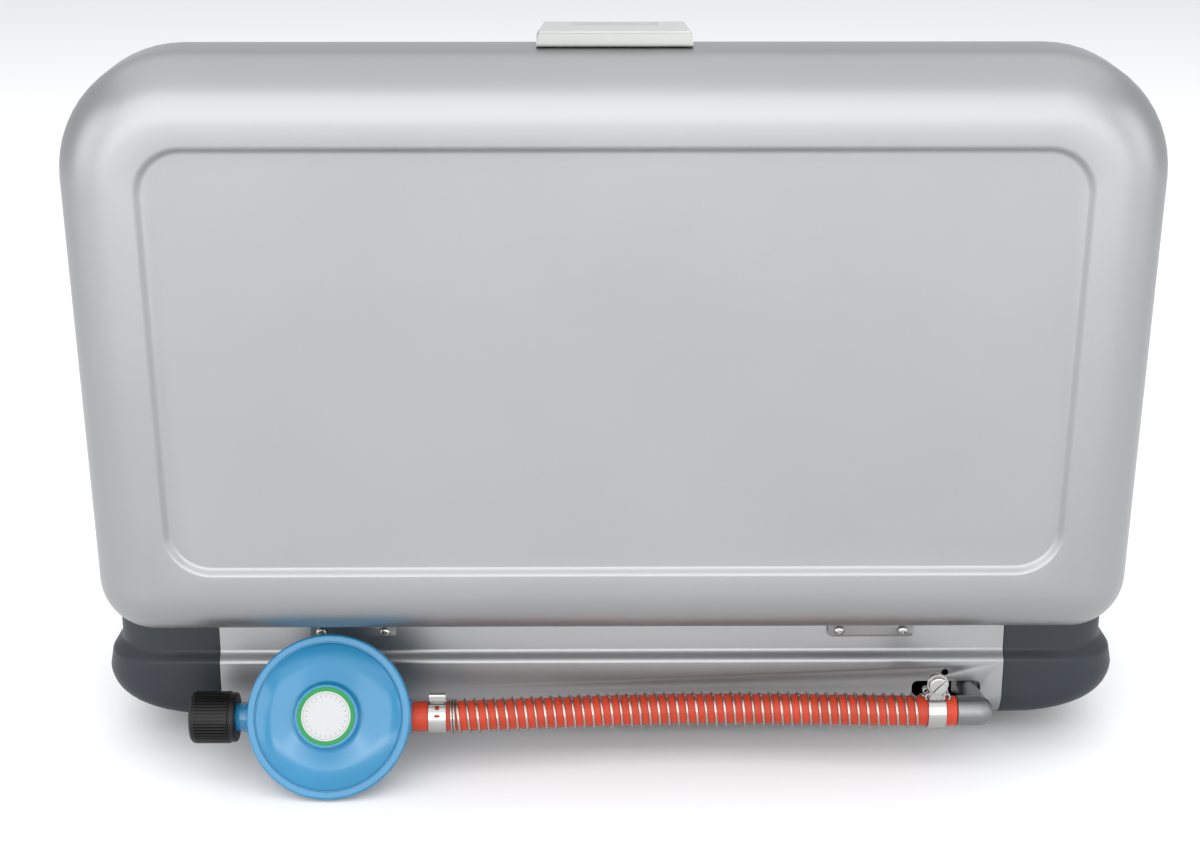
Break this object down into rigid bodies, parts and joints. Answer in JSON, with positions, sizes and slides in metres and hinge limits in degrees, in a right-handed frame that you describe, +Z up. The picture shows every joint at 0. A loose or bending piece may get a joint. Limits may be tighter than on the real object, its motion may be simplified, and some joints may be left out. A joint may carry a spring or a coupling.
{
  "type": "camping stove",
  "caption": "Suitcase-style gas camping stove with a hinged lid, drip tray, wire pan supports, push-button ignition and a sprung gas hose ending in a pressure regulator.",
  "frame": {"origin": "middle of the stove's footprint at the level the feet stand on, with the lid open", "axes": "+X along the stove's width towards the regulator's end, +Y towards the hinged back, +Z up"},
  "size_m": [0.5284, 0.3773, 0.3737],
  "materials": {
    "satin_steel": "satin, fine-grained",
    "front_steel": "satin",
    "slate_plastic": "fine-grained matte slate grey",
    "grey_plastic": "smooth light grey",
    "bright_steel": "bright plated",
    "zinc_casting": "dull cast grey",
    "orange_rubber": "smooth orange-red",
    "black_rubber": "matte black",
    "black_plastic": "matte black",
    "red_plastic": "glossy red",
    "blue_enamel": "glossy light blue",
    "white_label": "printed white with a green border",
    "brass": "machined",
    "cast_burner": "dull casting",
    "ceramic": "glazed off-white"
  },
  "bodies": {
    "base": {"base_shell": "satin_steel", "burner_body_left": "cast_burner", "burner_body_right": "cast_burner", "burner_cap_left": "cast_burner", "burner_cap_right": "cast_burner", "burner_jet_left": "brass", "burner_jet_right": "brass", "clamp_band": "bright_steel", "clamp_screw": "bright_steel", "drip_tray": "satin_steel", "ear_clamp": "bright_steel", "front_panel": "front_steel", "gas_manifold": "bright_steel", "gas_valve_left": "zinc_casting", "gas_valve_right": "zinc_casting", "hinge_base_leaf_left": "satin_steel", "hinge_base_leaf_right": "satin_steel", "hinge_pin_left": "bright_steel", "hinge_pin_right": "bright_steel", "hinge_screw_1": "bright_steel", "hinge_screw_2": "bright_steel", "hinge_screw_3": "bright_steel", "hinge_screw_4": "bright_steel", "hose": "orange_rubber", "hose_spring": "bright_steel", "igniter_body": "black_plastic", "ignition_lead_left": "black_rubber", "ignition_lead_right": "black_rubber", "inlet_elbow": "zinc_casting", "inlet_nut": "brass", "latch_catch": "grey_plastic", "regulator_body": "blue_enamel", "regulator_cover": "blue_enamel", "regulator_diaphragm": "black_rubber", "regulator_label": "white_label", "regulator_spring": "bright_steel", "rubber_foot_back_left": "black_rubber", "rubber_foot_back_right": "black_rubber", "rubber_foot_front_left": "black_rubber", "rubber_foot_front_right": "black_rubber", "side_housing_left": "slate_plastic", "side_housing_right": "slate_plastic", "spark_electrode_left": "ceramic", "spark_electrode_right": "ceramic"},
    "lid": {"lid_shell": "satin_steel", "hinge_lid_leaf_left": "satin_steel", "hinge_lid_leaf_right": "satin_steel", "latch_bracket": "bright_steel", "latch_pin": "bright_steel"},
    "latch_lever": {"latch": "grey_plastic"},
    "control_left": {"knob_left": "black_plastic", "valve_stem_left": "bright_steel"},
    "control_right": {"knob_right": "black_plastic", "valve_stem_right": "bright_steel"},
    "button": {"igniter_button": "red_plastic"},
    "grid_left": {"pan_support_left": "bright_steel"},
    "grid_right": {"pan_support_right": "bright_steel"},
    "cylinder_nut": {"hand_nut": "black_plastic"}
  },
  "joints": [
    {"name": "lid_hinge", "type": "hinge", "parent": "base", "child": "lid", "pos_m": [0, 0.12211, 0.0775], "axis": [-1, 0, 0], "range_deg": [-94, 0]},
    {"name": "latch_pivot", "type": "hinge", "parent": "lid", "child": "latch_lever", "pos_m": [0, 0.158, 0.3688], "axis": [-1, 0, 0], "range_deg": [0, 35]},
    {"name": "knob_left_turn", "type": "hinge", "parent": "base", "child": "control_left", "pos_m": [0.1227, -0.1702, 0.052], "axis": [0, -1, 0], "range_deg": [0, 180]},
    {"name": "knob_right_turn", "type": "hinge", "parent": "base", "child": "control_right", "pos_m": [-0.1227, -0.1702, 0.052], "axis": [0, -1, 0], "range_deg": [0, 180]},
    {"name": "igniter_press", "type": "slide", "parent": "base", "child": "button", "axis": [0, 1, 0], "range_m": [0, 0.004], "stiffness_N_per_m": 800},
    {"name": "grid_left_lift", "type": "slide", "parent": "base", "child": "grid_left", "axis": [0, 0, 1], "range_m": [0, 0.06]},
    {"name": "grid_right_lift", "type": "slide", "parent": "base", "child": "grid_right", "axis": [0, 0, 1], "range_m": [0, 0.06]},
    {"name": "cylinder_nut_turn", "type": "hinge", "parent": "base", "child": "cylinder_nut", "pos_m": [0.2, 0.152, 0.0319], "axis": [1, 0, 0], "continuous": true}
  ]
}
